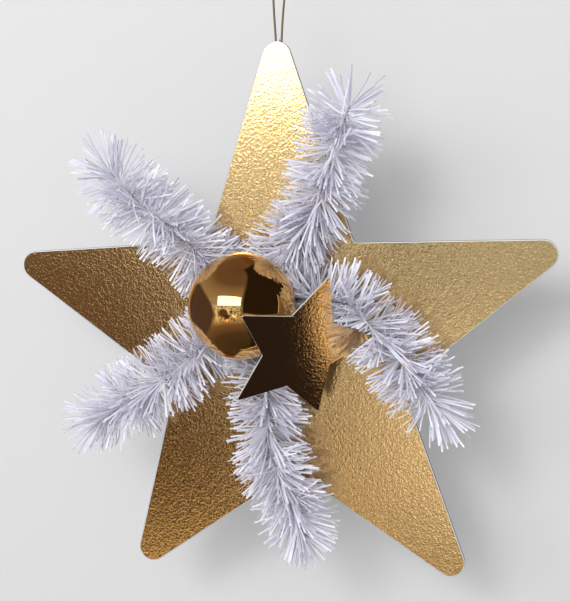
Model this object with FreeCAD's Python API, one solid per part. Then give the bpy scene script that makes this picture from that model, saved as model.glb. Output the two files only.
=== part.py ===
"""Hanging star decoration: a foil-laminated card star with a gold ball, a small foil star and a spray of
tinsel branches on its front, hung from a cord loop behind its top tip.

Millimetres. +Z is up and the decorated front faces -Y. The pieces are drawn about the centre of the big
star's front face, and are then moved so that the origin is the inside top of the hanging loop.
"""

import FreeCAD, Part

import math
import os

V = FreeCAD.Vector

# Big star, cut a little unevenly: reach from the centre and how far each corner stands off its even bearing
STAR_TIPS = [(191.6, 0.6), (180.4, -0.1), (185.3, 0.6), (178.6, -0.5), (186.3, -0.4)]
STAR_NOTCHES = [(71.1, 0.3), (71.8, 2.8), (76.9, -1.4), (75.2, -3.1), (75.0, -0.2)]
STAR_THICKNESS = 2.0
STAR_TIP_ROUND = 8.5
STAR_NOTCH_ROUND = 3.0
STAR_SHOULDER = 0.6

# Gold ball, blown with a short neck at its back
BALL_RADIUS = 30.0
BALL_X = -16.3
BALL_Z = 26.2
BALL_STANDOFF = 4.5
BALL_BANDS = 20
BALL_SIDES = 40
NECK_RADIUS = 6.0
NECK_SEAT_DEPTH = 3.0

# Round glue pad that holds the ball's neck and the tinsel wires
PAD_RADIUS = 15.0
PAD_THICKNESS = 4.0
PAD_CHAMFER = 1.2
PAD_SIDES = 24

# Small star, a thin card glued to the ball at a slant
SMALL_RADIUS = 44.8
SMALL_NOTCH_RADIUS = 22.8
SMALL_THICKNESS = 0.8
SMALL_TIP_ROUND = 0.8
SMALL_TURN = 14.9
SMALL_NORMAL = V(0.569, -0.741, -0.357)
SMALL_SHIFT_RIGHT = 23.5
SMALL_SHIFT_UP = -13.5
SMALL_GLUE_GAP = 1.0
SMALL_BEND_RADIUS = 590.0
SMALL_BEND_TURN = 10.0
DAB_RADIUS = 5.0
DAB_SIDES = 12
DAB_SINK = 1.0

# Tinsel: a hexagonal stand-in for two twisted wires, a film web round them and narrow film needles
WIRE_RADIUS = 0.6
WEB_RADIUS = 1.3
WIRE_SIDES = 6
WIRE_DEPTH = 2.0
NEEDLE_LENGTH = 25.0
NEEDLE_WIDTH = 1.4
NEEDLE_THICKNESS = 0.35
NEEDLE_PITCH = 1.75
NEEDLE_LEAN = 62.0
NEEDLE_TIP_LEAN = 28.0
NEEDLE_SHORTEST = 7.0
NEEDLE_STEP = 1.0
TUFT_LENGTH = 14.0
GOLDEN_ANGLE = 137.5
CLEARANCE = 0.3

# Each branch's line as steps (right, forward, up) from the ball's axis, chosen by hand along its real course
BRANCHES = {
    "upper_left": [(-12.3, 0.0, 10.2), (-24.0, 9.0, 21.0), (-43.0, 15.0, 42.5), (-62.0, 16.0, 57.5),
                   (-80.5, 16.0, 78.0)],
    "upper_right": [(9.7, 0.0, 12.6), (19.5, 9.0, 25.0), (39.0, 14.0, 48.5), (51.0, 16.0, 80.0),
                    (62.0, 17.0, 107.5)],
    "right": [(16.0, 0.0, 0.0), (31.0, 10.0, 0.5), (58.0, 21.0, -1.0), (81.5, 18.0, -27.5),
              (105.0, 16.0, -62.0)],
    "bottom": [(1.8, 0.0, -15.9), (4.6, 9.0, -30.5), (8.4, 16.0, -58.5), (7.4, 17.0, -86.0),
               (18.5, 17.0, -114.0), (25.5, 16.0, -138.0)],
    "lower_left": [(-12.2, 0.0, -10.4), (-23.5, 9.0, -20.0), (-45.0, 20.0, -38.5), (-68.0, 17.0, -53.5),
                   (-94.5, 16.0, -68.0)],
}
PAD_GRIP = 7.0

# Hanging cord, a loop glued to the back of the top tip: points across and up from the tip's top
CORD_DIAMETER = 1.2
CORD_ARC_SHARE = 0.45
CORD_LEFT = [(-1.2, -1.5), (-2.6, 38.0)]
CORD_TOP = (2.2, 40.8)
CORD_RIGHT = [(7.0, 37.6), (3.1, 14.0), (1.9, -1.5)]
GLUE_HALF = [(3.5, -15.0), (3.5, -4.0), (2.6, -1.5), (0.6, -1.5), (0.6, 1.2)]
GLUE_THICKNESS = 3.0

BACK_Y = STAR_THICKNESS
BALL_CENTRE = V(BALL_X, -BALL_STANDOFF - BALL_RADIUS, BALL_Z)
POINTS = len(STAR_TIPS)
CORD_Y = BACK_Y + GLUE_THICKNESS / 2.0


def star_face(tips, notches):
    """Flat star in the XZ plane, clockwise from the top: reach and bearing offset of each tip and notch."""
    corners = []
    for step in range(2 * POINTS):
        reach, offset = (notches if step % 2 else tips)[step // 2]
        angle = math.radians(180.0 * step / POINTS + offset)
        corners.append(V(reach * math.sin(angle), 0.0, reach * math.cos(angle)))
    return Part.Face(Part.makePolygon(corners + corners[:1]))


def corner_edges(blank, corners):
    """Edges across the thickness of an upright blank that pass through the given corners."""
    found = []
    for edge in blank.Edges:
        start, end = edge.Vertexes[0].Point, edge.Vertexes[-1].Point
        across = math.hypot(start.x - end.x, start.z - end.z) < 1e-6
        if across and any(math.hypot(start.x - spot.x, start.z - spot.z) < 1e-3 for spot in corners):
            found.append(edge)
    return found


def star_blank(face, depth, tip_round, notch_round):
    """Star of the given depth with rounded tips and, where they are given, rounded notches."""
    corners = [vertex.Point for vertex in face.OuterWire.OrderedVertexes]
    by_reach = sorted(corners, key=lambda spot: spot.Length)
    blank = face.extrude(V(0.0, depth, 0.0))
    blank = blank.makeFillet(tip_round, corner_edges(blank, by_reach[POINTS:]))
    if notch_round:
        blank = blank.makeFillet(notch_round, corner_edges(blank, by_reach[:POINTS]))
    return blank


def big_star():
    """Die-cut card star: rounded tips and notches, and a front edge that the cutter pressed over."""
    blank = star_blank(star_face(STAR_TIPS, STAR_NOTCHES), STAR_THICKNESS, STAR_TIP_ROUND, STAR_NOTCH_ROUND)
    front = [face for face in blank.Faces if abs(face.CenterOfMass.y) < 1e-6][0]
    return blank.makeChamfer(STAR_SHOULDER, front.Edges)


def closed_solid(rings):
    """Solid with flat facets between rings of corners, and the first and last ring as flat ends."""
    count = len(rings[0])
    faces = [Part.Face(Part.makePolygon(ring + ring[:1])) for ring in (rings[0], rings[-1])]
    for ring, after in zip(rings, rings[1:]):
        for step in range(count):
            beside = (step + 1) % count
            corners = [ring[step], ring[beside], after[beside], after[step], ring[step]]
            faces.append(Part.Face(Part.makePolygon(corners)))
    solid = Part.Solid(Part.makeShell(faces))
    if solid.Volume < 0.0:
        solid.reverse()
    return solid


def turned(profile, sides, centre, axis):
    """Turned form in fine facets: the profile gives radius and height along the axis."""
    spin = FreeCAD.Rotation(V(0, 0, 1), axis)
    rings = []
    for radius, height in profile:
        angles = [2.0 * math.pi * (step + 0.5) / sides for step in range(sides)]
        corners = [V(radius * math.cos(angle), radius * math.sin(angle), height) for angle in angles]
        rings.append([centre + spin.multVec(corner) for corner in corners])
    return closed_solid(rings)


def gold_ball():
    """Sealed ball and its neck in one piece, in facets that keep within 0.1 mm of the true round."""
    neck_angle = math.asin(NECK_RADIUS / BALL_RADIUS)
    first = math.pi / BALL_BANDS / 2.0
    profile = []
    for step in range(BALL_BANDS):
        angle = first + (math.pi - neck_angle - first) * step / (BALL_BANDS - 1)
        profile.append((BALL_RADIUS * math.sin(angle), BALL_RADIUS * math.cos(angle)))
    profile.append((NECK_RADIUS, -BALL_RADIUS - BALL_STANDOFF + PAD_THICKNESS - NECK_SEAT_DEPTH))
    return turned(profile, BALL_SIDES, BALL_CENTRE, V(0, -1, 0))


def glue_pad(ball, wires):
    """Flat round of set glue on the card, moulded round the ball's neck and the wire ends."""
    shoulder = (PAD_RADIUS, PAD_THICKNESS - PAD_CHAMFER)
    profile = [(PAD_RADIUS, 0.0), shoulder, (PAD_RADIUS - PAD_CHAMFER, PAD_THICKNESS)]
    pad = turned(profile, PAD_SIDES, V(BALL_X, 0.0, BALL_Z), V(0, -1, 0))
    return pad.cut([ball] + wires)


def small_star_place():
    """Place of the small star's own frame, front along -Y, against the ball."""
    normal = V(SMALL_NORMAL).normalize()
    back = normal * -1.0
    right = back.cross(V(0, 0, 1)).normalize()
    up = right.cross(back)
    foot = BALL_CENTRE + normal * (BALL_RADIUS + SMALL_GLUE_GAP + SMALL_THICKNESS)
    centre = foot + right * SMALL_SHIFT_RIGHT + up * SMALL_SHIFT_UP
    turn = FreeCAD.Matrix(right.x, back.x, up.x, centre.x, right.y, back.y, up.y, centre.y,
                          right.z, back.z, up.z, centre.z, 0, 0, 0, 1)
    return FreeCAD.Placement(turn)


def small_star():
    """Thin foil card star, cut from a sheet that is bowed back a little on both sides."""
    depth = SMALL_RADIUS ** 2 / SMALL_BEND_RADIUS + SMALL_THICKNESS
    tips = [(SMALL_RADIUS, SMALL_TURN)] * POINTS
    notches = [(SMALL_NOTCH_RADIUS, SMALL_TURN)] * POINTS
    blank = star_blank(star_face(tips, notches), 2.0 * depth, SMALL_TIP_ROUND, 0.0)
    blank.translate(V(0.0, -depth, 0.0))
    bend = math.radians(SMALL_BEND_TURN)
    along = V(-math.sin(bend), 0.0, math.cos(bend))
    foot = V(0.0, SMALL_BEND_RADIUS, 0.0) - along * 2.0 * SMALL_RADIUS
    outer = Part.makeCylinder(SMALL_BEND_RADIUS, 4.0 * SMALL_RADIUS, foot, along)
    inner = Part.makeCylinder(SMALL_BEND_RADIUS - SMALL_THICKNESS, 4.0 * SMALL_RADIUS, foot, along)
    star = blank.common(outer.cut(inner)).Solids[0]
    star.Placement = small_star_place()
    return star


def glue_dab(ball, star):
    """Dab of set glue between the small star's back and the ball."""
    normal = V(SMALL_NORMAL).normalize()
    profile = [(DAB_RADIUS, BALL_RADIUS - DAB_SINK), (DAB_RADIUS, BALL_RADIUS + SMALL_GLUE_GAP)]
    dab = turned(profile, DAB_SIDES, BALL_CENTRE, normal)
    return max(dab.cut([ball, star]).Solids, key=lambda piece: piece.Volume)


def branch_line(steps):
    """A branch's route: its wire end in the pad, then its hand-chosen points."""
    root = V(BALL_X, -WIRE_DEPTH, BALL_Z)
    points = [root + V(right, -forward, up) for right, forward, up in steps]
    grip = points[0] - root
    return [root + grip * (PAD_GRIP / grip.Length)] + points


def stem(points, radius):
    """Straight-sided stem along the points, mitred where it bends."""
    heading = (points[1] - points[0]).normalize()
    side = heading.cross(V(0, 1, 0)).normalize()
    lift = side.cross(heading)
    ring = []
    for step in range(WIRE_SIDES):
        angle = 2.0 * math.pi * step / WIRE_SIDES
        ring.append(points[0] + side * (radius * math.cos(angle)) + lift * (radius * math.sin(angle)))
    rings = [ring]
    for before, here, after in zip(points, points[1:], points[2:] + [None]):
        heading = (here - before).normalize()
        mitre = heading if after is None else (heading + (after - here).normalize()).normalize()
        slope = heading.dot(mitre)
        rings.append([corner + heading * ((here - corner).dot(mitre) / slope) for corner in rings[-1]])
    return closed_solid(rings)


def walk(points, pitch, start):
    """Evenly spaced places along the route: point, heading and the length left to the end."""
    total = sum((b - a).Length for a, b in zip(points, points[1:]))
    places = []
    travelled = 0.0
    mark = start
    for a, b in zip(points, points[1:]):
        run = (b - a).Length
        heading = (b - a).normalize()
        while mark <= travelled + run and mark < total:
            places.append((a + heading * (mark - travelled), heading, total - mark))
            mark += pitch
        travelled += run
    return places


def fan_limits():
    """Bearings, about the ball's axis, half way between each branch and its neighbours."""
    bearings = {}
    for name, steps in BRANCHES.items():
        middle = steps[2]
        bearings[name] = math.atan2(middle[2], middle[0])
    ordered = sorted(bearings, key=bearings.get)
    limits = {}
    for place, name in enumerate(ordered):
        before = bearings[ordered[place - 1]]
        after = bearings[ordered[(place + 1) % len(ordered)]]
        own = bearings[name]
        back_gap = (own - before) % (2.0 * math.pi) / 2.0
        next_gap = (after - own) % (2.0 * math.pi) / 2.0
        limits[name] = (own - back_gap, own + next_gap)
    return limits


def blocked(point, limits):
    """True where a needle would touch the ball or the small star, or enter the next branch's share."""
    margin = NEEDLE_WIDTH / 2.0 + CLEARANCE
    if (point - BALL_CENTRE).Length < BALL_RADIUS + margin:
        return True
    spot = small_star_place().inverse().multVec(point)
    bow = SMALL_RADIUS ** 2 / (2.0 * SMALL_BEND_RADIUS)
    if -margin < spot.y < bow + SMALL_THICKNESS + margin:
        half = math.pi / POINTS
        bearing = (math.atan2(spot.x, spot.z) - math.radians(SMALL_TURN)) % (2.0 * half)
        bearing = min(bearing, 2.0 * half - bearing)
        slope = SMALL_RADIUS * math.sin(bearing) + SMALL_NOTCH_RADIUS * math.sin(half - bearing)
        edge = SMALL_RADIUS * SMALL_NOTCH_RADIUS * math.sin(half) / slope
        if math.hypot(spot.x, spot.z) < edge + 2.0 * margin:
            return True
    for bearing, sign in zip(limits, (1.0, -1.0)):
        wall = V(-math.sin(bearing), 0.0, math.cos(bearing)) * sign
        if (point - BALL_CENTRE).dot(wall) < margin:
            return True
    return False


def free_length(root, heading, limits):
    """How far a needle can run before anything is in its way."""
    length = 0.0
    while length < NEEDLE_LENGTH and not blocked(root + heading * (length + NEEDLE_STEP), limits):
        length += NEEDLE_STEP
    return length


def needle(root, heading, stem_heading, length):
    """One film needle: a flat strip that thins to an edge at its cut end."""
    wide = (stem_heading - heading * stem_heading.dot(heading)).normalize() * (NEEDLE_WIDTH / 2.0)
    thick = heading.cross(wide).normalize() * (NEEDLE_THICKNESS / 2.0)
    tip = root + heading * length
    left, right = tip - wide, tip + wide
    foot = [root - wide - thick, root + wide - thick, root + wide + thick, root - wide + thick]
    outlines = [
        [foot[3], foot[2], foot[1], foot[0]],
        [foot[0], foot[1], right, left],
        [foot[2], foot[3], left, right],
        [foot[1], foot[2], right],
        [foot[3], foot[0], left],
    ]
    faces = [Part.Face(Part.makePolygon(line + line[:1])) for line in outlines]
    solid = Part.Solid(Part.makeShell(faces))
    if solid.Volume < 0.0:
        solid.reverse()
    return solid


def branch_film(points, wire, limits):
    """Film of one branch: the web round the wire and its needles, set in a spiral."""
    web = stem(points[1:], WEB_RADIUS)
    needles = []
    for count, (place, heading, left) in enumerate(walk(points[1:], NEEDLE_PITCH, NEEDLE_PITCH)):
        lean = NEEDLE_LEAN
        if left < TUFT_LENGTH:
            lean = NEEDLE_TIP_LEAN + (NEEDLE_LEAN - NEEDLE_TIP_LEAN) * left / TUFT_LENGTH
        side = heading.cross(V(0, 1, 0)).normalize()
        lift = side.cross(heading)
        turn = math.radians(GOLDEN_ANGLE * count)
        outward = side * math.cos(turn) + lift * math.sin(turn)
        lean = math.radians(lean)
        course = heading * math.cos(lean) + outward * math.sin(lean)
        root = place + outward * (WIRE_RADIUS + WEB_RADIUS) / 2.0
        sink = (-CLEARANCE - NEEDLE_WIDTH / 2.0 - root.y) / NEEDLE_LENGTH
        if course.y > sink:
            flat = math.hypot(course.x, course.z)
            level = math.sqrt(1.0 - sink * sink) / flat
            course = V(course.x * level, sink, course.z * level)
        length = free_length(root, course, limits)
        if length > NEEDLE_SHORTEST:
            needles.append(needle(root, course, heading, length))
    film = web.multiFuse(needles).cut(wire).removeSplitter()
    print("needles", len(needles), "solids", len(film.Solids), "valid", film.isValid())
    return film.Solids[0]


def cord_route(top_tip):
    """Corner points of the loop, from one end up over the hook and down to the other."""
    return [top_tip + V(x, CORD_Y, z) for x, z in CORD_LEFT + [CORD_TOP] + CORD_RIGHT]


def cord(top_tip):
    """Round cord along straight runs and tangent arcs, each arc as large as its runs allow."""
    points = cord_route(top_tip)
    edges = []
    start = points[0]
    for before, corner, after in zip(points, points[1:], points[2:]):
        arriving = corner - before
        leaving = after - corner
        tangent = CORD_ARC_SHARE * min(arriving.Length, leaving.Length)
        arriving.normalize()
        leaving.normalize()
        turn = arriving.getAngle(leaving)
        radius = tangent / math.tan(turn / 2.0)
        inward = (leaving - arriving).normalize()
        middle = corner + inward * (radius / math.cos(turn / 2.0) - radius)
        arc_start = corner - arriving * tangent
        arc_end = corner + leaving * tangent
        edges.append(Part.LineSegment(start, arc_start).toShape())
        edges.append(Part.Arc(arc_start, middle, arc_end).toShape())
        start = arc_end
        print("cord radius", round(radius, 2))
    edges.append(Part.LineSegment(start, points[-1]).toShape())
    path = Part.Wire(edges)
    section = Part.Wire(Part.Circle(points[0], points[1] - points[0], CORD_DIAMETER / 2.0).toShape())
    tube = path.makePipe(Part.Face(section))
    expected = math.pi * CORD_DIAMETER ** 2 / 4.0 * path.Length
    hook = max(edge.BoundBox.ZMax for edge in edges) - CORD_DIAMETER / 2.0
    print("cord", round(path.Length, 1), "volume", round(tube.Volume, 2), "expected", round(expected, 2))
    return tube, V(points[len(CORD_LEFT)].x, CORD_Y, hook)


def cord_glue(top_tip, loop):
    """Set glue behind the top tip: the cord's ends go into its shoulders, its nose shows above the tip."""
    middle = top_tip + V((CORD_LEFT[0][0] + CORD_RIGHT[-1][0]) / 2.0, BACK_Y, 0.0)
    halves = GLUE_HALF + [(-x, z) for x, z in reversed(GLUE_HALF)]
    outline = [middle + V(x, 0.0, z) for x, z in halves]
    return Part.Face(Part.makePolygon(outline + outline[:1])).extrude(V(0.0, GLUE_THICKNESS, 0.0)).cut(loop)


os.makedirs("parts", exist_ok=True)

ball = gold_ball()
flat_star = small_star()
card = big_star()
top_tip = V(STAR_TIPS[0][0] * math.sin(math.radians(STAR_TIPS[0][1])), 0.0, card.BoundBox.ZMax)
loop, origin = cord(top_tip)
routes = {name: branch_line(steps) for name, steps in BRANCHES.items()}
wires = {name: stem(route, WIRE_RADIUS) for name, route in routes.items()}
limits = fan_limits()

nodes = {
    "big_star": card,
    "gold_ball": ball,
    "small_star": flat_star,
    "small_star_glue": glue_dab(ball, flat_star),
    "centre_glue": glue_pad(ball, list(wires.values())),
    "hanging_cord": loop,
    "cord_glue": cord_glue(top_tip, loop),
}
for name, route in routes.items():
    nodes["wire_" + name] = wires[name]
    nodes["tinsel_" + name] = branch_film(route, wires[name], limits[name])

for name, shape in nodes.items():
    shape.translate(origin * -1.0)
    print(name, "valid", shape.isValid(), "volume", round(shape.Volume, 1), "solids", len(shape.Solids))
    shape.exportStep("parts/" + name + ".step")
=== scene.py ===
"""Hanging star decoration of gold foil card, with a gold ball, a small foil star and white tinsel branches.

Metres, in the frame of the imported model: the origin is the inside top of the hanging loop, +Z is up and the
decorated front faces -Y. Each section below makes one piece or one group of like pieces.
"""

import math
import random

import bmesh
import bpy
from mathutils import Matrix, Vector
from mathutils.bvhtree import BVHTree


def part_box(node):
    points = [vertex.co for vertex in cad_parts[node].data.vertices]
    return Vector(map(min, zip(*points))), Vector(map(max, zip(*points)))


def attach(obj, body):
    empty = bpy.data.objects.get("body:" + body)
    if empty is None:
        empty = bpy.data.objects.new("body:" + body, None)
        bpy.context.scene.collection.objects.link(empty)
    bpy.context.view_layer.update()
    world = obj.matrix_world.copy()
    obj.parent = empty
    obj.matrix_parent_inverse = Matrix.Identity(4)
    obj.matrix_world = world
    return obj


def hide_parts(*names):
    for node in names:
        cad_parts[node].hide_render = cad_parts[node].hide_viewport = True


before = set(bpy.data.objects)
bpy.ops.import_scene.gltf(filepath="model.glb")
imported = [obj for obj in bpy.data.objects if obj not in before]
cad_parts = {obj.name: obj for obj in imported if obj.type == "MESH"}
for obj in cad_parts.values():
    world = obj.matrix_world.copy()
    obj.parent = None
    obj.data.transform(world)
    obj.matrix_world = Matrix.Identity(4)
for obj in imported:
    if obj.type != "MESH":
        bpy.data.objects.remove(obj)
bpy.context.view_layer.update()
bpy.ops.object.select_all(action="DESELECT")

# The middle of the big star's front face, from which everything is placed: the ball's axis stands a little to
# the left of it and above it.
BALL_AXIS = Vector((-0.0163, 0.0, 0.0262))
ball_low, ball_high = (Vector(corner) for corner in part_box("gold_ball"))
card_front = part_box("big_star")[0][1]
ball_axis_foot = Vector(((ball_low.x + ball_high.x) / 2, card_front, (ball_low.z + ball_high.z) / 2))
star_middle = ball_axis_foot - BALL_AXIS


# Camera: it stands to the right of the star and a little above its middle, and leans a little because the
# star in the picture hangs askew.
CAMERA_FROM_STAR = Vector((0.15712, -0.67377, 0.10673))
CAMERA_FORWARD = Vector((-0.2251, 0.9672, -0.1178))
CAMERA_UP = Vector((0.0152, 0.1244, 0.9921))
CAMERA_LENS = 71.88

camera_data = bpy.data.cameras.new("camera")
camera_data.lens = CAMERA_LENS
camera_data.sensor_width = 36.0
camera = bpy.data.objects.new("camera", camera_data)
bpy.context.collection.objects.link(camera)
camera_back = -CAMERA_FORWARD.normalized()
camera_right = CAMERA_UP.cross(camera_back).normalized()
camera_up = camera_back.cross(camera_right)
camera_turn = Matrix((camera_right, camera_up, camera_back)).transposed()
camera.matrix_world = Matrix.Translation(star_middle + CAMERA_FROM_STAR) @ camera_turn.to_4x4()
bpy.context.scene.camera = camera


# Light: a wide soft box like a window, up and to the left in front of the star, and a smaller lamp above it
# that gives the shadows their direction. The foil and the ball mirror a dim room with darker and paler
# patches; everything else is lit by an even room.
WINDOW_MIDDLE = Vector((-0.31, -1.36, 0.46))
WINDOW_SIZE = (1.30, 0.46)
WINDOW_WATTS = 9.0
KEY_MIDDLE = Vector((-0.20, -1.30, 0.60))
KEY_SIZE = (0.36, 0.30)
KEY_WATTS = 5.4
EVEN_ROOM = (0.71, 0.71, 0.73)
ROOM_SIDES = (1.06, 1.02)
PALE_BACKGROUND = (0.78, 0.78, 0.78)
ROOM_BY_HEIGHT = [
    (-90, (0.05, 0.04, 0.03), 0.0), (-52, (0.08, 0.06, 0.05), 0.0), (-32, (0.20, 0.14, 0.12), 0.0),
    (-21, (0.50, 0.46, 0.40), 1.0), (-16, (0.58, 0.52, 0.45), 1.0), (-12, (0.28, 0.24, 0.19), 1.0),
    (-8, (0.32, 0.36, 0.42), 1.0), (-2, (0.47, 0.53, 0.62), 1.0), (4, (0.60, 0.70, 0.88), 1.0),
    (10, (0.40, 0.40, 0.42), 0.5), (28, (0.32, 0.28, 0.27), 0.0), (40, (0.25, 0.21, 0.20), 0.0),
    (52, (0.15, 0.11, 0.10), 0.0), (90, (0.13, 0.09, 0.08), 0.0)]
MOTTLE_SCALE = 20.0
MOTTLE_DETAIL = 3.0
MOTTLE_SWING = 2.6
DARKEST_MOTTLE = 0.1
ROOM_PATCHES = [
    ("bright wall under the window", (-14, -2.6), (5, 6), 0.40, (0.68, 0.71, 0.77), 1.0),
    ("bright sill", (-2.2, -12.8), (5.4, 3.8), 0.35, (1.10, 1.12, 1.22), 1.0),
    ("dark shelf", (-8.5, -4.5), (3.6, 3), 0.40, (0.14, 0.14, 0.15), 1.0),
    ("pale cupboard", (-20, -22), (6, 3), 0.40, (0.85, 0.66, 0.40), 1.0),
    ("wall left of the window", (-25.5, -7), (9.5, 8), 0.12, (0.115, 0.072, 0.055), 0.0),
    ("dark low furniture", (-18.5, -14.5), (6.5, 4.4), 0.20, (0.075, 0.045, 0.033), 0.0),
    ("unlit left side", (-97, -6), (50, 30), 0.10, (0.08, 0.065, 0.08), 0.0),
    ("lit doorway", (-41, -9), (2.6, 16), 0.30, (0.85, 0.85, 0.80), 0.3),
    ("unlit right side", (100, 0), (86, 85), 0.06, (0.022, 0.016, 0.016), 0.0),
    ("pale thing low on the right", (99, -44), (23, 10), 0.04, (0.98, 0.76, 0.50), 0.0),
    ("dark floor on the right", (80, -54), (30, 9.7), 0.03, (0.022, 0.016, 0.016), 0.0),
]


def room_light():
    """The world: mirrors see a colour for each height, then the patches, unevenly bright where mottled.

    Heights are (degrees, colour, mottled share); patches are (name, bearing and height of the middle, half
    widths in degrees, softness of the edge, colour, mottled share).
    """
    world = bpy.data.worlds.new("room")
    world.use_nodes = True
    nodes, links = world.node_tree.nodes, world.node_tree.links
    nodes.clear()
    split = nodes.new("ShaderNodeSeparateXYZ")
    heading = nodes.new("ShaderNodeTexCoord").outputs["Generated"]
    links.new(heading, split.inputs[0])

    def maths(operation, *values):
        node = nodes.new("ShaderNodeMath")
        node.operation = operation
        for socket, value in zip(node.inputs, values):
            if isinstance(value, (int, float)):
                socket.default_value = value
            else:
                links.new(value, socket)
        return node.outputs[0]

    toward = maths("MULTIPLY", split.outputs["Y"], -1.0)
    bearing = maths("DEGREES", maths("ARCTAN2", split.outputs["X"], toward))
    height = maths("DEGREES", maths("ARCSINE", split.outputs["Z"]))
    ramp = nodes.new("ShaderNodeValToRGB")
    links.new(maths("DIVIDE", maths("ADD", height, 90.0), 180.0), ramp.inputs["Fac"])
    steps = ramp.color_ramp.elements
    while len(steps) < len(ROOM_BY_HEIGHT):
        steps.new(0.5)
    for step, (angle, tone, mottled) in zip(steps, ROOM_BY_HEIGHT):
        step.position = (angle + 90) / 180
        step.color = (*tone, mottled)
    mottle = nodes.new("ShaderNodeTexNoise")
    mottle.inputs["Scale"].default_value = MOTTLE_SCALE
    mottle.inputs["Detail"].default_value = MOTTLE_DETAIL
    links.new(heading, mottle.inputs["Vector"])
    tone = ramp.outputs["Color"]
    place = nodes.new("ShaderNodeCombineXYZ")
    links.new(bearing, place.inputs[0])
    links.new(height, place.inputs[1])
    unevenness = ramp.outputs["Alpha"]
    for name, middle, half, softness, level, mottled in ROOM_PATCHES:
        offset = nodes.new("ShaderNodeVectorMath")
        offset.operation = "SUBTRACT"
        links.new(place.outputs[0], offset.inputs[0])
        offset.inputs[1].default_value = (*middle, 0.0)
        scaled = nodes.new("ShaderNodeVectorMath")
        scaled.operation = "DIVIDE"
        links.new(offset.outputs[0], scaled.inputs[0])
        scaled.inputs[1].default_value = (*half, 1.0)
        reach = nodes.new("ShaderNodeVectorMath")
        reach.operation = "LENGTH"
        links.new(scaled.outputs[0], reach.inputs[0])
        share = nodes.new("ShaderNodeMapRange")
        share.interpolation_type = "SMOOTHSTEP"
        share.inputs["From Min"].default_value = 1.0 + softness
        share.inputs["From Max"].default_value = 1.0 - softness
        links.new(reach.outputs["Value"], share.inputs["Value"])
        mixed = nodes.new("ShaderNodeMix")
        mixed.data_type = "RGBA"
        mixed.label = name
        links.new(share.outputs["Result"], mixed.inputs["Factor"])
        links.new(tone, mixed.inputs["A"])
        mixed.inputs["B"].default_value = (*level, 1.0)
        tone = mixed.outputs["Result"]
        blend = nodes.new("ShaderNodeMix")
        links.new(share.outputs["Result"], blend.inputs["Factor"])
        links.new(unevenness, blend.inputs["A"])
        blend.inputs["B"].default_value = mottled
        unevenness = blend.outputs["Result"]
    swing = maths("MULTIPLY", maths("SUBTRACT", mottle.outputs["Fac"], 0.5), 2.0 * MOTTLE_SWING)
    scaled_tone = nodes.new("ShaderNodeVectorMath")
    scaled_tone.operation = "SCALE"
    links.new(tone, scaled_tone.inputs[0])
    swung = maths("ADD", maths("MULTIPLY", swing, unevenness), 1.0)
    links.new(maths("MAXIMUM", swung, DARKEST_MOTTLE), scaled_tone.inputs["Scale"])
    room = nodes.new("ShaderNodeBackground")
    links.new(scaled_tone.outputs[0], room.inputs["Color"])
    even = nodes.new("ShaderNodeBackground")
    even.inputs["Color"].default_value = (*EVEN_ROOM, 1.0)
    sides = nodes.new("ShaderNodeMapRange")
    sides.inputs["From Min"].default_value = -1.0
    sides.inputs["To Min"].default_value, sides.inputs["To Max"].default_value = ROOM_SIDES
    links.new(split.outputs["X"], sides.inputs["Value"])
    links.new(sides.outputs["Result"], even.inputs["Strength"])
    pale = nodes.new("ShaderNodeBackground")
    pale.inputs["Color"].default_value = (*PALE_BACKGROUND, 1.0)
    path = nodes.new("ShaderNodeLightPath")
    lit = even
    for ray, seen in (("Is Glossy Ray", room), ("Is Camera Ray", pale)):
        choice = nodes.new("ShaderNodeMixShader")
        links.new(path.outputs[ray], choice.inputs["Fac"])
        links.new(lit.outputs[0], choice.inputs[1])
        links.new(seen.outputs[0], choice.inputs[2])
        lit = choice
    links.new(lit.outputs[0], nodes.new("ShaderNodeOutputWorld").inputs["Surface"])
    bpy.context.scene.world = world


def soft_box(name, middle, size, watts, mirrored):
    """Rectangular lamp that faces the middle of the star, and shows in the foil if it is mirrored."""
    lamp = bpy.data.lights.new(name, "AREA")
    lamp.shape = "RECTANGLE"
    lamp.size, lamp.size_y = size
    lamp.energy = watts
    holder = bpy.data.objects.new(name, lamp)
    bpy.context.collection.objects.link(holder)
    holder.visible_glossy = mirrored
    turn = (-middle).to_track_quat("-Z", "Y").to_matrix().to_4x4()
    holder.matrix_world = Matrix.Translation(star_middle + middle) @ turn


room_light()
soft_box("window", WINDOW_MIDDLE, WINDOW_SIZE, WINDOW_WATTS, True)
soft_box("window_middle", KEY_MIDDLE, KEY_SIZE, KEY_WATTS, False)
bpy.context.scene.view_settings.view_transform = "Standard"


# Stage: a plain pale wall a hand's width behind the star, and a plain pale floor below it. Both are painted
# on one side only, so that the star's back can be looked at too, and neither shows in the mirrors.
WALL_BEHIND = 0.085
FLOOR_BELOW = 0.60
STAGE_REACH = 3.0
STAGE_COLOUR = (0.64, 0.64, 0.64)
STAGE_ROUGHNESS = 0.9


def principled(name, colour, roughness, metallic=0.0):
    """New material with one main shader: returns the material, its nodes, links and that shader."""
    material = bpy.data.materials.new(name)
    material.use_nodes = True
    nodes = material.node_tree.nodes
    shader = nodes["Principled BSDF"]
    shader.inputs["Base Color"].default_value = (*colour, 1.0)
    shader.inputs["Roughness"].default_value = roughness
    shader.inputs["Metallic"].default_value = metallic
    return material, nodes, material.node_tree.links, shader


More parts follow.
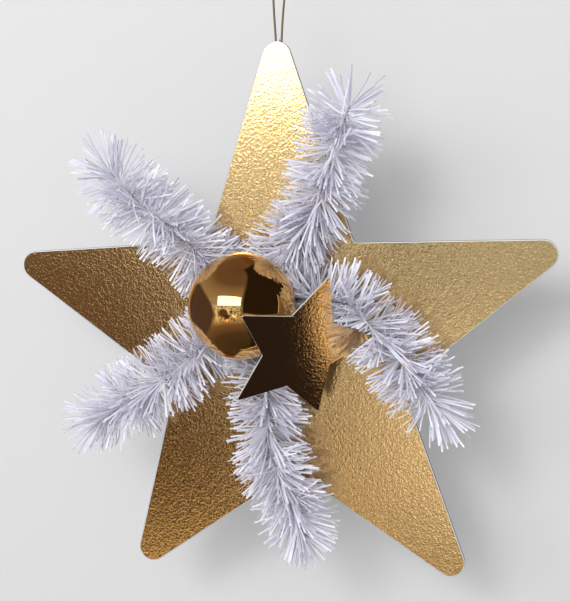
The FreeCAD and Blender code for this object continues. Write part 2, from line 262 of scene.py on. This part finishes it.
def stage_sheet(name, place, turn):
    """Large flat sheet of the stage, seen only from its front and never in a mirror."""
    bpy.ops.mesh.primitive_plane_add(size=2 * STAGE_REACH, location=place, rotation=turn)
    sheet = bpy.context.object
    sheet.name = name
    material, nodes, links, shader = principled(name + "_paint", STAGE_COLOUR, STAGE_ROUGHNESS)
    one_sided = nodes.new("ShaderNodeMixShader")
    links.new(nodes.new("ShaderNodeNewGeometry").outputs["Backfacing"], one_sided.inputs["Fac"])
    links.new(shader.outputs[0], one_sided.inputs[1])
    links.new(nodes.new("ShaderNodeBsdfTransparent").outputs[0], one_sided.inputs[2])
    links.new(one_sided.outputs[0], nodes["Material Output"].inputs["Surface"])
    sheet.data.materials.append(material)
    sheet.visible_glossy = False
    sheet.select_set(False)


stage_sheet("wall", star_middle + Vector((0, WALL_BEHIND, 0)), (math.pi / 2, 0, 0))
stage_sheet("floor", star_middle + Vector((0, 0, -FLOOR_BELOW)), (0, 0, 0))


# Big star: 2 mm card laminated with embossed mirror foil on its front, die-cut, so that its front edge is
# pressed over. A thin pale band round the front of the edge is a painted highlight, and the cut edge behind it
# is painted dark as painted shade; the back is bare card. Its form is the imported part's own.
FOIL_COLOUR = (0.92, 0.62, 0.27)
FOIL_ROUGHNESS = 0.11
EMBOSS_GRAIN = 0.0014
EMBOSS_HEIGHT = 0.000095
CRINKLE_DETAIL = 2.0
CRINKLE_ROUGHNESS = 0.45
CRINKLE_DISTORTION = 0.6
# Depth behind the front and colour of each layer: a pale band as painted highlight, the cut edge painted dark
# as painted shade, and the bare card of the back.
PAINTED_HIGHLIGHT_RIM = (0.00008, (0.90, 0.88, 0.84))
PAINTED_SHADE_EDGE = (0.00045, (0.045, 0.033, 0.023))
BARE_BACK = (0.00195, (0.72, 0.70, 0.66))
CARD_ROUGHNESS = 0.8


def foil(name, colour, roughness, grain, height):
    """Embossed mirror foil: a fine crinkle of the given grain and height, in metres."""
    material, nodes, links, shader = principled(name, colour, roughness, 1.0)
    place = nodes.new("ShaderNodeTexCoord").outputs["Object"]
    crinkle = nodes.new("ShaderNodeTexNoise")
    crinkle.inputs["Scale"].default_value = 1.0 / grain
    crinkle.inputs["Detail"].default_value = CRINKLE_DETAIL
    crinkle.inputs["Roughness"].default_value = CRINKLE_ROUGHNESS
    crinkle.inputs["Distortion"].default_value = CRINKLE_DISTORTION
    links.new(place, crinkle.inputs["Vector"])
    bump = nodes.new("ShaderNodeBump")
    bump.inputs["Strength"].default_value = 1.0
    bump.inputs["Distance"].default_value = height
    links.new(crinkle.outputs["Fac"], bump.inputs["Height"])
    links.new(bump.outputs[0], shader.inputs["Normal"])
    return material, nodes, links, shader


def paint_behind(nodes, links, foil_shader, layers):
    """Colours behind the foil, each from its own depth behind the front: painted highlight, shade and card."""
    split = nodes.new("ShaderNodeSeparateXYZ")
    links.new(nodes.new("ShaderNodeTexCoord").outputs["Object"], split.inputs[0])
    shown = foil_shader.outputs[0]
    for start, colour in layers:
        behind = nodes.new("ShaderNodeMath")
        behind.operation = "GREATER_THAN"
        behind.inputs[1].default_value = card_front + start
        links.new(split.outputs["Y"], behind.inputs[0])
        matte_shader = nodes.new("ShaderNodeBsdfPrincipled")
        matte_shader.inputs["Base Color"].default_value = (*colour, 1.0)
        matte_shader.inputs["Roughness"].default_value = CARD_ROUGHNESS
        mixed = nodes.new("ShaderNodeMixShader")
        links.new(behind.outputs[0], mixed.inputs["Fac"])
        links.new(shown, mixed.inputs[1])
        links.new(matte_shader.outputs[0], mixed.inputs[2])
        shown = mixed.outputs[0]
    links.new(shown, nodes["Material Output"].inputs["Surface"])


def dress(node, material):
    """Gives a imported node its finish."""
    materials = bpy.data.objects[node].data.materials
    materials.clear()
    materials.append(material)


star_foil, star_nodes, star_links, star_shader = foil(
    "star_foil", FOIL_COLOUR, FOIL_ROUGHNESS, EMBOSS_GRAIN, EMBOSS_HEIGHT)
# The pale band is a painted highlight and the dark cut edge is painted shade.
paint_behind(star_nodes, star_links, star_shader, [PAINTED_HIGHLIGHT_RIM, PAINTED_SHADE_EDGE, BARE_BACK])
dress("big_star", star_foil)


# Set glue: cloudy hot-melt glue, squeezed out hot. One round pad holds the ball's neck and the tinsel wires,
# a dab holds the small star to the ball, and another dab holds the cord's ends behind the top tip.
GLUE_COLOUR = (0.80, 0.76, 0.66)
GLUE_ROUGHNESS = 0.35
GLUE_CLOUDINESS = 0.4
GLUE_LIGHT_REACH = (0.002, 0.002, 0.0015)

glue_paint, _, _, glue_shader = principled("set_glue", GLUE_COLOUR, GLUE_ROUGHNESS)
glue_shader.inputs["Subsurface Weight"].default_value = GLUE_CLOUDINESS
glue_shader.inputs["Subsurface Radius"].default_value = GLUE_LIGHT_REACH
for glue_node in ("centre_glue", "small_star_glue", "cord_glue"):
    dress(glue_node, glue_paint)


# Hanging cord: one length of twisted gold-brown thread, doubled into a loop over the hook and glued behind
# the top tip by its two ends. Its points are in millimetres across and up from the star's top tip.
CORD_DIAMETER = 0.0012
CORD_COLOUR = (0.20, 0.145, 0.06)
CORD_ROUGHNESS = 0.45
CORD_METALLIC = 0.35
CORD_POINTS = [(-1.2, -1.5), (-2.6, 38.0), (2.2, 40.8), (7.0, 37.6), (3.1, 14.0), (1.9, -1.5)]
CORD_DEPTH = 0.0035
CORD_SIDES = 5
CORD_SMOOTHNESS = 16
TOP_TIP_RIGHT = 0.002006
TOP_TIP = Vector((TOP_TIP_RIGHT, CORD_DEPTH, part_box("big_star")[1][2] - star_middle.z))

cord_curve = bpy.data.curves.new("cord", "CURVE")
cord_curve.dimensions = "3D"
cord_curve.bevel_depth = CORD_DIAMETER / 2
cord_curve.bevel_resolution = CORD_SIDES
cord_curve.use_fill_caps = True
cord_curve.resolution_u = CORD_SMOOTHNESS
cord_line = cord_curve.splines.new("NURBS")
cord_line.points.add(len(CORD_POINTS) - 1)
for knot, (across, up) in zip(cord_line.points, CORD_POINTS):
    knot.co = (*(star_middle + TOP_TIP + Vector((across, 0.0, up)) / 1000), 1.0)
cord_line.order_u = 3
cord_line.use_endpoint_u = True
cord_piece = bpy.data.objects.new("cord_thread", cord_curve)
bpy.context.collection.objects.link(cord_piece)
cord_curve.materials.append(principled("gold_thread", CORD_COLOUR, CORD_ROUGHNESS, CORD_METALLIC)[0])
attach(cord_piece, "root")
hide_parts("hanging_cord")


# Tinsel wires: each branch has two thin bright wires, twisted tightly together round the roots of the film.
# They run from the glue pad, under the ball, out along the branch. The branches' courses are in millimetres
# to the right, forward and up from the foot of the ball's axis.
WIRE_COLOUR = (0.62, 0.61, 0.60)
WIRE_ROUGHNESS = 0.28
WIRE_DEPTH = 0.0020
WIRE_THICKNESS = 0.0006
WIRE_TURN = 0.0042
STEPS_PER_TURN = 10
PAD_GRIP = 0.007
BRANCHES = {
    "upper_left": [(-12.3, 0.0, 10.2), (-24.0, 9.0, 21.0), (-43.0, 15.0, 42.5), (-62.0, 16.0, 57.5),
                   (-80.5, 16.0, 78.0)],
    "upper_right": [(9.7, 0.0, 12.6), (19.5, 9.0, 25.0), (39.0, 14.0, 48.5), (51.0, 16.0, 80.0),
                    (62.0, 17.0, 107.5)],
    "right": [(16.0, 0.0, 0.0), (31.0, 10.0, 0.5), (58.0, 21.0, -1.0), (81.5, 18.0, -27.5),
              (105.0, 16.0, -62.0)],
    "bottom": [(1.8, 0.0, -15.9), (4.6, 9.0, -30.5), (8.4, 16.0, -58.5), (7.4, 17.0, -86.0),
               (18.5, 17.0, -114.0), (25.5, 16.0, -138.0)],
    "lower_left": [(-12.2, 0.0, -10.4), (-23.5, 9.0, -20.0), (-45.0, 20.0, -38.5), (-68.0, 17.0, -53.5),
                   (-94.5, 16.0, -68.0)],
}


def branch_points(steps):
    """The branch's own points: its wire end in the pad, then its course over the star."""
    root = ball_axis_foot + Vector((0.0, -WIRE_DEPTH, 0.0))
    points = [root + Vector((right, -forward, up)) / 1000 for right, forward, up in steps]
    grip = (points[0] - root).normalized() * PAD_GRIP
    return [root + grip] + points


def walk(points, pitch):
    """Places every pitch along straight runs: point, heading, and the lengths behind and ahead."""
    total = sum((after - before).length for before, after in zip(points, points[1:]))
    places = []
    travelled = 0.0
    mark = 0.0
    for before, after in zip(points, points[1:]):
        run = (after - before).length
        heading = (after - before).normalized()
        while mark <= travelled + run and mark < total:
            places.append((before + heading * (mark - travelled), heading, mark, total - mark))
            mark += pitch
        travelled += run
    return places


def twisted_wire(name, points):
    """Two wires wound round the branch's line, as one mesh."""
    curve = bpy.data.curves.new(name, "CURVE")
    curve.dimensions = "3D"
    curve.bevel_depth = WIRE_THICKNESS / 2
    curve.bevel_resolution = 1
    curve.use_fill_caps = True
    places = walk(points, WIRE_TURN / STEPS_PER_TURN)
    for start_turn in (0.0, math.pi):
        line = curve.splines.new("POLY")
        line.points.add(len(places) - 1)
        for knot, (place, heading, mark, ahead) in zip(line.points, places):
            side = heading.cross(Vector((0, 1, 0))).normalized()
            lift = side.cross(heading)
            turn = start_turn + 2 * math.pi * mark / WIRE_TURN
            offset = (side * math.cos(turn) + lift * math.sin(turn)) * WIRE_THICKNESS / 2
            knot.co = (*(place + offset), 1.0)
    wound = bpy.data.objects.new(name, curve)
    bpy.context.collection.objects.link(wound)
    wound.select_set(True)
    bpy.context.view_layer.objects.active = wound
    bpy.ops.object.convert(target="MESH")
    bpy.ops.object.shade_smooth_by_angle(angle=math.radians(60))
    wound.select_set(False)
    return wound


wire_finish = principled("bright_wire", WIRE_COLOUR, WIRE_ROUGHNESS, 1.0)[0]
routes = {name: branch_points(steps) for name, steps in BRANCHES.items()}
for name, points in routes.items():
    wire = twisted_wire("twisted_wire_" + name, points)
    wire.data.materials.append(wire_finish)
    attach(wire, "root")
    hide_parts("wire_" + name)


# Tinsel film: pearly white film, slit into narrow needles and twisted in with the wires, so that bunches of
# needles stand out all round the branch, lean towards its end, and fan out there.
NEEDLE_LENGTH = 0.0245
NEEDLE_LENGTH_SHARES = (0.86, 1.06)
NEEDLE_WIDTH = 0.00095
NEEDLE_FILM = 0.00010
NEEDLE_SPACING = 0.00010
NEEDLE_BENDS = (0.0, 0.10, -0.12)
NEEDLE_BEND_PLACES = (0.35, 0.7)
NEEDLE_ROOT_WIDTH = 0.6
NEEDLE_ROOT_OFFSET = 0.6
BUNCH_OF_NEEDLES = 5
BUNCH_TURN_SPREAD = 0.3
BUNCH_LEAN_SPREAD = 9.0
BUNCH_SHADING_SHARE = 0.4
NEEDLE_TURN_SPREAD = 0.20
NEEDLE_LEAN_SPREAD = 11.0
NEEDLE_FACE_SPREAD = 0.35
GOLDEN_ANGLE = math.radians(137.5)
TIP_LEAN = 12
TUFT_LENGTH = 0.010
TUFT_SPACING = 0.027
TUFT_SWAY = 17.0
BRANCH_LEANS = {
    "upper_left": [(108, 118), (76, 106), (78, 78)],
    "upper_right": [(138, 130), (112, 116), (92, 88)],
    "right": [(84, 106), (80, 112), (68, 88)],
    "bottom": [(74, 100), (62, 78), (68, 56)],
    "lower_left": [(92, 104), (76, 88), (60, 70)],
}
TIP_NEEDLE_SHARES = {"upper_left": 1.0, "upper_right": 1.0, "right": 1.0, "bottom": 0.72, "lower_left": 1.0}
NEEDLE_SHORTEST = 0.006
LOOSE_STRIP_LENGTH = 0.034
LOOSE_STRIP_LENGTH_SHARES = (0.75, 1.1)
LOOSE_STRIP_EVERY = 90
LOOSE_STRIP_TURNS = (-125, -60)
LOOSE_STRIP_LEANS = (24, 40)
NEEDLE_CLEARANCE = 0.0004
CARD_CLEARANCE = 0.0008
KEPT_CLEAR = 0.030
SAME_PLACE = 0.000001
# White film colour, and the lavender-grey painted shade that each needle gets a random share of, by bunch and
# by needle, standing in for shade and dark reflections among the needles.
FILM_LIGHT = (0.97, 0.97, 1.00)
FILM_PAINTED_SHADE = (0.62, 0.61, 0.74)
FILM_ROUGHNESS = 0.24


def needle_strip(bend):
    """One needle, modelled once: a thin strip of unit length along +Z, bent sideways towards its end."""
    bpy.ops.mesh.primitive_cube_add(size=1.0, location=(0.0, 0.0, 0.5))
    strip = bpy.context.object
    strip.scale = (NEEDLE_WIDTH, NEEDLE_FILM, 1.0)
    bpy.ops.object.transform_apply(location=True, rotation=False, scale=True)
    bpy.ops.object.mode_set(mode="EDIT")
    bpy.ops.mesh.select_all(action="SELECT")
    for height in NEEDLE_BEND_PLACES:
        bpy.ops.mesh.bisect(plane_co=(0, 0, height), plane_no=(0, 0, 1))
        bpy.ops.mesh.select_all(action="SELECT")
    bpy.ops.object.mode_set(mode="OBJECT")
    for corner in strip.data.vertices:
        corner.co.y += bend * corner.co.z ** 2 * NEEDLE_LENGTH
        if corner.co.z < NEEDLE_BEND_PLACES[0] / 2:
            corner.co.x *= NEEDLE_ROOT_WIDTH
    mesh = strip.data
    bpy.data.objects.remove(strip)
    return mesh


def needle_lean(leans, share, side_share):
    """How far a needle leans from its branch's heading, in degrees, along the branch and round it."""
    place = min(share * (len(leans) - 1), len(leans) - 1.0001)
    before, after = leans[int(place)], leans[int(place) + 1]
    left, right = (a + (b - a) * (place % 1.0) for a, b in zip(before, after))
    return (left + right) / 2 + (left - right) / 2 * side_share


def tinsel_film(name, points, leans, tip_share, seed, obstacles):
    """All the needles of one branch in one mesh, each a turned and moved copy of a strip.

    A few longer strips have slipped out of the twist, and lie along its front. A needle that would run into
    the card is tilted up over it, and one that would run into an obstacle stops short of it.
    """
    draw = random.Random(seed)
    strips = [needle_strip(bend) for bend in NEEDLE_BENDS]
    film = bmesh.new()
    painted_shading = film.verts.layers.float.new("painted_shading")
    for count, (place, heading, mark, ahead) in enumerate(walk(points[1:], NEEDLE_SPACING)):
        if count % BUNCH_OF_NEEDLES == 0:
            bunch_turn = GOLDEN_ANGLE * count / BUNCH_OF_NEEDLES + draw.gauss(0, BUNCH_TURN_SPREAD)
            bunch_lean = draw.gauss(0, BUNCH_LEAN_SPREAD)
            bunch_face = draw.uniform(0, math.pi)
            bunch_shading_share = draw.random()
        turn = bunch_turn + draw.gauss(0, NEEDLE_TURN_SPREAD)
        lean = needle_lean(leans, mark / (mark + ahead), math.cos(turn)) + bunch_lean
        lean += draw.gauss(0, NEEDLE_LEAN_SPREAD)
        lean += TUFT_SWAY * math.cos(2 * math.pi * mark / TUFT_SPACING)
        if ahead < TUFT_LENGTH:
            lean = TIP_LEAN + (lean - TIP_LEAN) * (ahead / TUFT_LENGTH) ** 0.5
        lean = math.radians(lean)
        length = NEEDLE_LENGTH * draw.uniform(*NEEDLE_LENGTH_SHARES)
        length *= min(1.0, tip_share + (1.0 - tip_share) * ahead / TUFT_LENGTH)
        if count % LOOSE_STRIP_EVERY == LOOSE_STRIP_EVERY // 2 and ahead > LOOSE_STRIP_LENGTH / 2:
            turn = math.radians(draw.uniform(*LOOSE_STRIP_TURNS))
            lean = math.radians(draw.uniform(*LOOSE_STRIP_LEANS))
            length = LOOSE_STRIP_LENGTH * draw.uniform(*LOOSE_STRIP_LENGTH_SHARES)
        side = heading.cross(Vector((0, 1, 0))).normalized()
        lift = side.cross(heading)
        outward = side * math.cos(turn) + lift * math.sin(turn)
        course = (heading * math.cos(lean) + outward * math.sin(lean)).normalized()
        root = place + outward * WIRE_THICKNESS * NEEDLE_ROOT_OFFSET
        sink = (card_front - CARD_CLEARANCE - root.y) / length
        if course.y > sink:
            level = math.sqrt(max(0.0, 1.0 - sink * sink)) / math.hypot(course.x, course.z)
            course = Vector((course.x * level, sink, course.z * level))
        for obstacle in obstacles:
            met = obstacle.ray_cast(root, course, length)[3]
            if met is not None:
                length = min(length, met - NEEDLE_CLEARANCE - NEEDLE_WIDTH / 2)
        face_turn = bunch_face + draw.gauss(0, NEEDLE_FACE_SPREAD)
        # Each needle's place between painted shade and white, partly set by its bunch.
        shading_share = BUNCH_SHADING_SHARE * bunch_shading_share + (1.0 - BUNCH_SHADING_SHARE) * draw.random()
        if length < NEEDLE_SHORTEST:
            continue
        before = len(film.verts)
        film.from_mesh(strips[draw.randrange(len(strips))])
        film.verts.ensure_lookup_table()
        fresh = film.verts[before:]
        turned = course.to_track_quat("Z", "Y").to_matrix().to_4x4() @ Matrix.Rotation(face_turn, 4, "Z")
        along = Matrix.Diagonal((1.0, length / NEEDLE_LENGTH, length, 1.0))
        bmesh.ops.transform(film, matrix=Matrix.Translation(root) @ turned @ along, verts=fresh)
        for corner in fresh:
            corner[painted_shading] = shading_share
    mesh = bpy.data.meshes.new(name)
    film.to_mesh(mesh)
    film.free()
    piece = bpy.data.objects.new(name, mesh)
    bpy.context.collection.objects.link(piece)
    for strip in strips:
        bpy.data.meshes.remove(strip)
    return piece


def film_finish():
    """Pearly white film, glossy, with a random share of lavender-grey painted shade from needle to needle."""
    material, nodes, links, shader = principled("pearly_film", FILM_LIGHT, FILM_ROUGHNESS)
    needle = nodes.new("ShaderNodeAttribute")
    needle.attribute_name = "painted_shading"
    tone = nodes.new("ShaderNodeMix")
    tone.data_type = "RGBA"
    tone.inputs["A"].default_value = (*FILM_PAINTED_SHADE, 1.0)
    tone.inputs["B"].default_value = (*FILM_LIGHT, 1.0)
    links.new(needle.outputs["Fac"], tone.inputs["Factor"])
    links.new(tone.outputs["Result"], shader.inputs["Base Color"])
    return material


def obstacle(node, reach=Vector((0.0, 0.0, 0.0))):
    """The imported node, and the space in front of it up to the given reach, as a shape that stops needles."""
    swept = bmesh.new()
    swept.from_mesh(bpy.data.objects[node].data)
    bmesh.ops.remove_doubles(swept, verts=swept.verts, dist=SAME_PLACE)
    if reach.length:
        fronts = [face for face in swept.faces if face.normal.dot(reach) > 0]
        outer = bmesh.ops.extrude_face_region(swept, geom=fronts)["geom"]
        corners = [part for part in outer if isinstance(part, bmesh.types.BMVert)]
        bmesh.ops.translate(swept, vec=reach, verts=corners)
    tree = BVHTree.FromBMesh(swept)
    swept.free()
    return tree


to_viewer = CAMERA_FROM_STAR.normalized() * KEPT_CLEAR
needle_stops = [obstacle("gold_ball"), obstacle("centre_glue"), obstacle("small_star", to_viewer)]
film_paint = film_finish()
for seed, (name, points) in enumerate(routes.items()):
    film = tinsel_film("film_needles_" + name, points, BRANCH_LEANS[name], TIP_NEEDLE_SHARES[name], seed,
                       needle_stops)
    film.data.materials.append(film_paint)
    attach(film, "root")
    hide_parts("tinsel_" + name)


# Gold ball: a blown ball, metallised and lacquered, with a short neck at its back that stands in the glue
# pad.
BALL_RADIUS = 0.030
BALL_SIDES = 96
BALL_BANDS = 64
BALL_STANDOFF = 0.0045
NECK_RADIUS = 0.006
NECK_END_DEPTH = 0.001
BALL_COLOUR = (0.88, 0.51, 0.16)
BALL_ROUGHNESS = 0.035

ball_middle = ball_axis_foot + Vector((0.0, -BALL_STANDOFF - BALL_RADIUS, 0.0))
bpy.ops.mesh.primitive_uv_sphere_add(segments=BALL_SIDES, ring_count=BALL_BANDS, radius=BALL_RADIUS,
                                     location=ball_middle, rotation=(math.pi / 2, 0, 0))
ball = bpy.context.object
ball.name = "mirror_ball"
bpy.ops.object.transform_apply(location=True, rotation=True, scale=True)
bpy.ops.object.mode_set(mode="EDIT")
bpy.ops.mesh.select_all(action="SELECT")
neck_start = ball_middle.y + math.sqrt(BALL_RADIUS ** 2 - NECK_RADIUS ** 2)
bpy.ops.mesh.bisect(plane_co=(0, neck_start, 0), plane_no=(0, 1, 0), clear_outer=True)
bpy.ops.mesh.extrude_region_move(
    TRANSFORM_OT_translate={"value": (0, card_front - NECK_END_DEPTH - neck_start, 0)})
bpy.ops.mesh.edge_face_add()
bpy.ops.mesh.select_all(action="SELECT")
bpy.ops.mesh.normals_make_consistent(inside=False)
bpy.ops.object.mode_set(mode="OBJECT")
bpy.ops.object.shade_smooth_by_angle(angle=math.radians(30))
ball.select_set(False)
ball.data.materials.append(principled("ball_gold", BALL_COLOUR, BALL_ROUGHNESS, 1.0)[0])
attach(ball, "root")
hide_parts("gold_ball")


# Small star: thin card with fine-grained mirror foil, cut with sharp points, bowed back a little on both
# sides and glued to the ball at a slant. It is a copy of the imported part's form, shaded by its own bow.
SMALL_FOIL_COLOUR = (0.92, 0.62, 0.30)
SMALL_FOIL_ROUGHNESS = 0.08
SMALL_FOIL_GRAIN = 0.0014
SMALL_FOIL_HEIGHT = 0.000045
SMALL_CARD_COLOUR = (0.62, 0.57, 0.50)
SMALL_STAR_FACING = Vector((0.569, -0.741, -0.357)).normalized()
SMALL_STAR_STANDOFF = 0.0018
SMALL_STAR_SHIFT = (0.0235, -0.0135)
SMALL_STAR_BEND_RADIUS = 0.590
SMALL_STAR_BEND_TURN = math.radians(10)
FRONT_FACING = 0.5


def small_star_finish():
    """Fine foil on the front, pale bare card on the cut edge and the back."""
    material, nodes, links, shader = foil(
        "small_star_foil", SMALL_FOIL_COLOUR, SMALL_FOIL_ROUGHNESS, SMALL_FOIL_GRAIN, SMALL_FOIL_HEIGHT)
    facing = nodes.new("ShaderNodeVectorMath")
    facing.operation = "DOT_PRODUCT"
    links.new(nodes.new("ShaderNodeNewGeometry").outputs["True Normal"], facing.inputs[0])
    facing.inputs[1].default_value = SMALL_STAR_FACING
    bare = nodes.new("ShaderNodeMath")
    bare.operation = "LESS_THAN"
    bare.inputs[1].default_value = FRONT_FACING
    links.new(facing.outputs["Value"], bare.inputs[0])
    matte_shader = nodes.new("ShaderNodeBsdfPrincipled")
    matte_shader.inputs["Base Color"].default_value = (*SMALL_CARD_COLOUR, 1.0)
    matte_shader.inputs["Roughness"].default_value = CARD_ROUGHNESS
    mixed = nodes.new("ShaderNodeMixShader")
    links.new(bare.outputs[0], mixed.inputs["Fac"])
    links.new(shader.outputs[0], mixed.inputs[1])
    links.new(matte_shader.outputs[0], mixed.inputs[2])
    links.new(mixed.outputs[0], nodes["Material Output"].inputs["Surface"])
    return material


small_mesh = bpy.data.objects["small_star"].data.copy()
small_card = bpy.data.objects.new("small_star_card", small_mesh)
bpy.context.collection.objects.link(small_card)
small_card.select_set(True)
bpy.context.view_layer.objects.active = small_card
bpy.ops.object.mode_set(mode="EDIT")
bpy.ops.mesh.select_all(action="SELECT")
bpy.ops.mesh.remove_doubles(threshold=SAME_PLACE)
bpy.ops.object.mode_set(mode="OBJECT")
bpy.ops.object.shade_smooth_by_angle(angle=math.radians(30))
small_card.select_set(False)
across = Vector((0, 0, 1)).cross(SMALL_STAR_FACING).normalized()
upward = SMALL_STAR_FACING.cross(across)
bow_line = across * -math.sin(SMALL_STAR_BEND_TURN) + upward * math.cos(SMALL_STAR_BEND_TURN)
bow_middle = (ball_middle + SMALL_STAR_FACING * (BALL_RADIUS + SMALL_STAR_STANDOFF - SMALL_STAR_BEND_RADIUS)
              + across * SMALL_STAR_SHIFT[0] + upward * SMALL_STAR_SHIFT[1])
card_normals = [corner.vector.copy() for corner in small_mesh.corner_normals]
for face in small_mesh.polygons:
    if face.normal.dot(SMALL_STAR_FACING) > FRONT_FACING:
        for corner in face.loop_indices:
            spoke = small_mesh.vertices[small_mesh.loops[corner].vertex_index].co - bow_middle
            card_normals[corner] = (spoke - bow_line * spoke.dot(bow_line)).normalized()
small_mesh.normals_split_custom_set(card_normals)
small_mesh.materials.clear()
small_mesh.materials.append(small_star_finish())
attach(small_card, "root")
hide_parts("small_star")
